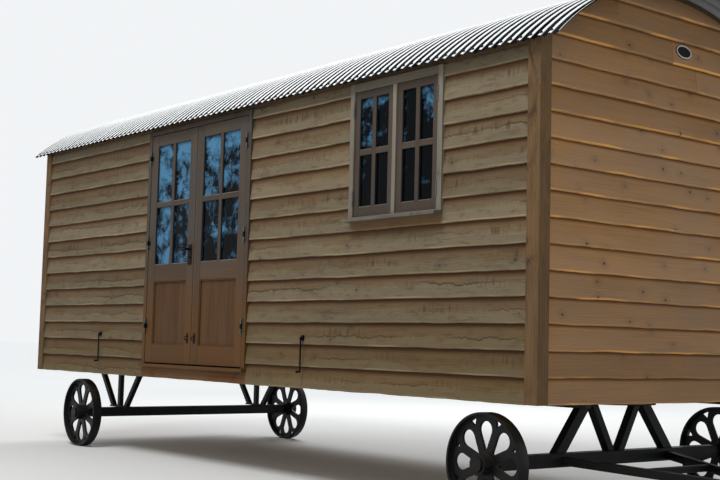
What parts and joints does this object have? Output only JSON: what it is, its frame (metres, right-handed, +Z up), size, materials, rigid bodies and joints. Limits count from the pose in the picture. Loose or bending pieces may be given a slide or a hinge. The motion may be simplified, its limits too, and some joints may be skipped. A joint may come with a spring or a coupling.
{
  "type": "shepherds hut",
  "caption": "Shepherds hut with waney-edge lapped boards, arched corrugated roof, double glazed doors, a window and a steel chassis on cast wheels with a steered tow bar.",
  "frame": {"origin": "on the ground under the middle of the whole object's box", "axes": "+X along the hut towards the tow bar, -Y out of the door side, +Z up"},
  "size_m": [7.4218, 2.55, 3.1708],
  "materials": {
    "larch_boards": "weathered waney-edge boards",
    "oak_posts": "sawn oak",
    "oak_joinery": "planed oak",
    "softwood": "planed",
    "corrugated_iron": "galvanised",
    "glass": "clear",
    "black_ironwork": "satin black",
    "black_steel": "satin black",
    "cast_iron_wheels": "painted black"
  },
  "bodies": {
    "hut": {"chassis_rails": "black_steel", "cross_members": "black_steel", "floor_deck": "softwood", "corner_posts": "oak_posts", "front_wall_left": "larch_boards", "front_wall_middle": "larch_boards", "front_wall_below_window": "larch_boards", "front_wall_right": "larch_boards", "back_wall": "larch_boards", "left_end_wall": "larch_boards", "right_end_wall": "larch_boards", "eave_plates": "softwood", "roof_lining": "softwood", "roof_ribs": "softwood", "roof_deck": "softwood", "roof_sheets": "corrugated_iron", "door_jambs": "oak_joinery", "door_head": "oak_joinery", "door_sill": "oak_joinery", "door_hinges": "black_ironwork", "cabin_hooks": "black_ironwork", "window_frame": "oak_joinery", "window_sill": "oak_joinery", "window_casements": "oak_joinery", "window_glass": "glass", "end_plaque": "black_ironwork", "rear_axle_beam": "black_steel", "rear_axle_struts": "black_steel", "turntable_upper": "black_steel"},
    "left_door": {"left_leaf_frame": "oak_joinery", "left_leaf_glass": "glass", "left_leaf_panel": "oak_joinery", "left_leaf_ironwork": "black_ironwork"},
    "right_door": {"right_leaf_frame": "oak_joinery", "right_leaf_glass": "glass", "right_leaf_panel": "oak_joinery", "right_leaf_ironwork": "black_ironwork"},
    "front_axle": {"front_axle_beam": "black_steel", "front_axle_truss": "black_steel", "turntable_lower": "black_steel", "tow_bar": "black_steel"},
    "front_door_side_wheel": {"front_wheel_door_side": "cast_iron_wheels"},
    "front_back_side_wheel": {"front_wheel_back_side": "cast_iron_wheels"},
    "rear_door_side_wheel": {"rear_wheel_door_side": "cast_iron_wheels"},
    "rear_back_side_wheel": {"rear_wheel_back_side": "cast_iron_wheels"}
  },
  "joints": [
    {"name": "left_door_hinge", "type": "hinge", "parent": "hut", "child": "left_door", "pos_m": [-1.56665, -1.2105, 0.65], "axis": [0, 0, -1], "range_deg": [0, 170]},
    {"name": "right_door_hinge", "type": "hinge", "parent": "hut", "child": "right_door", "pos_m": [-0.16165, -1.2105, 0.65], "axis": [0, 0, 1], "range_deg": [0, 170]},
    {"name": "front_axle_steer", "type": "hinge", "parent": "hut", "child": "front_axle", "pos_m": [2.26585, 0, 0.6], "axis": [0, 0, 1], "range_deg": [-25, 25]},
    {"name": "front_door_side_wheel_spin", "type": "hinge", "parent": "front_axle", "child": "front_door_side_wheel", "pos_m": [2.26585, -1.12, 0.295], "axis": [0, 1, 0], "continuous": true},
    {"name": "front_back_side_wheel_spin", "type": "hinge", "parent": "front_axle", "child": "front_back_side_wheel", "pos_m": [2.26585, 1.12, 0.295], "axis": [0, 1, 0], "continuous": true},
    {"name": "rear_door_side_wheel_spin", "type": "hinge", "parent": "hut", "child": "rear_door_side_wheel", "pos_m": [-2.78915, -1.12, 0.295], "axis": [0, 1, 0], "continuous": true},
    {"name": "rear_back_side_wheel_spin", "type": "hinge", "parent": "hut", "child": "rear_back_side_wheel", "pos_m": [-2.78915, 1.12, 0.295], "axis": [0, 1, 0], "continuous": true}
  ]
}
